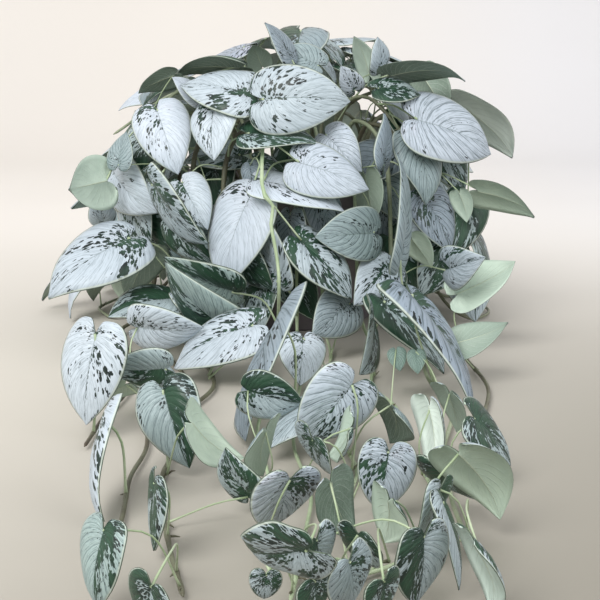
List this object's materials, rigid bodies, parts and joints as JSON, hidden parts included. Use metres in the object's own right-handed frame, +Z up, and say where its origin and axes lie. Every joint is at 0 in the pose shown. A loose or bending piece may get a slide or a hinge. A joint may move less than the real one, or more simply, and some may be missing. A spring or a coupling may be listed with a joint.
{
  "type": "potted plant",
  "caption": "Satin pothos with heart-shaped, silver-marked leaves, mounding over a plain round pot and trailing in front of it.",
  "frame": {"origin": "middle of the pot's flat underside", "axes": "+Z up; -Y is the front, the side that the picture shows and where most vines trail; +X to the right as seen from the front"},
  "size_m": [0.4873, 1.0091, 0.2967],
  "materials": {
    "pot": "smooth matte grey-mauve",
    "soil": "loose dark potting soil",
    "foliage": "satin silver-green leaf"
  },
  "bodies": {
    "root": {"pot": "pot", "soil": "soil", "vine_crown_front": "foliage", "vine_crown_right": "foliage", "vine_crown_back_right": "foliage", "vine_crown_back": "foliage", "vine_crown_left": "foliage", "vine_crown_front_left": "foliage", "vine_crown_front_right": "foliage", "vine_front_far_left": "foliage", "vine_front_left": "foliage", "vine_front_left_inner": "foliage", "vine_front_middle_left": "foliage", "vine_front_middle": "foliage", "vine_front_middle_right": "foliage", "vine_front_right_inner": "foliage", "vine_front_right": "foliage", "vine_front_far_right": "foliage", "vine_right": "foliage", "vine_right_back": "foliage", "vine_back_right": "foliage", "vine_back": "foliage", "vine_back_left": "foliage", "vine_left_back": "foliage", "vine_left": "foliage"}
  },
  "joints": []
}
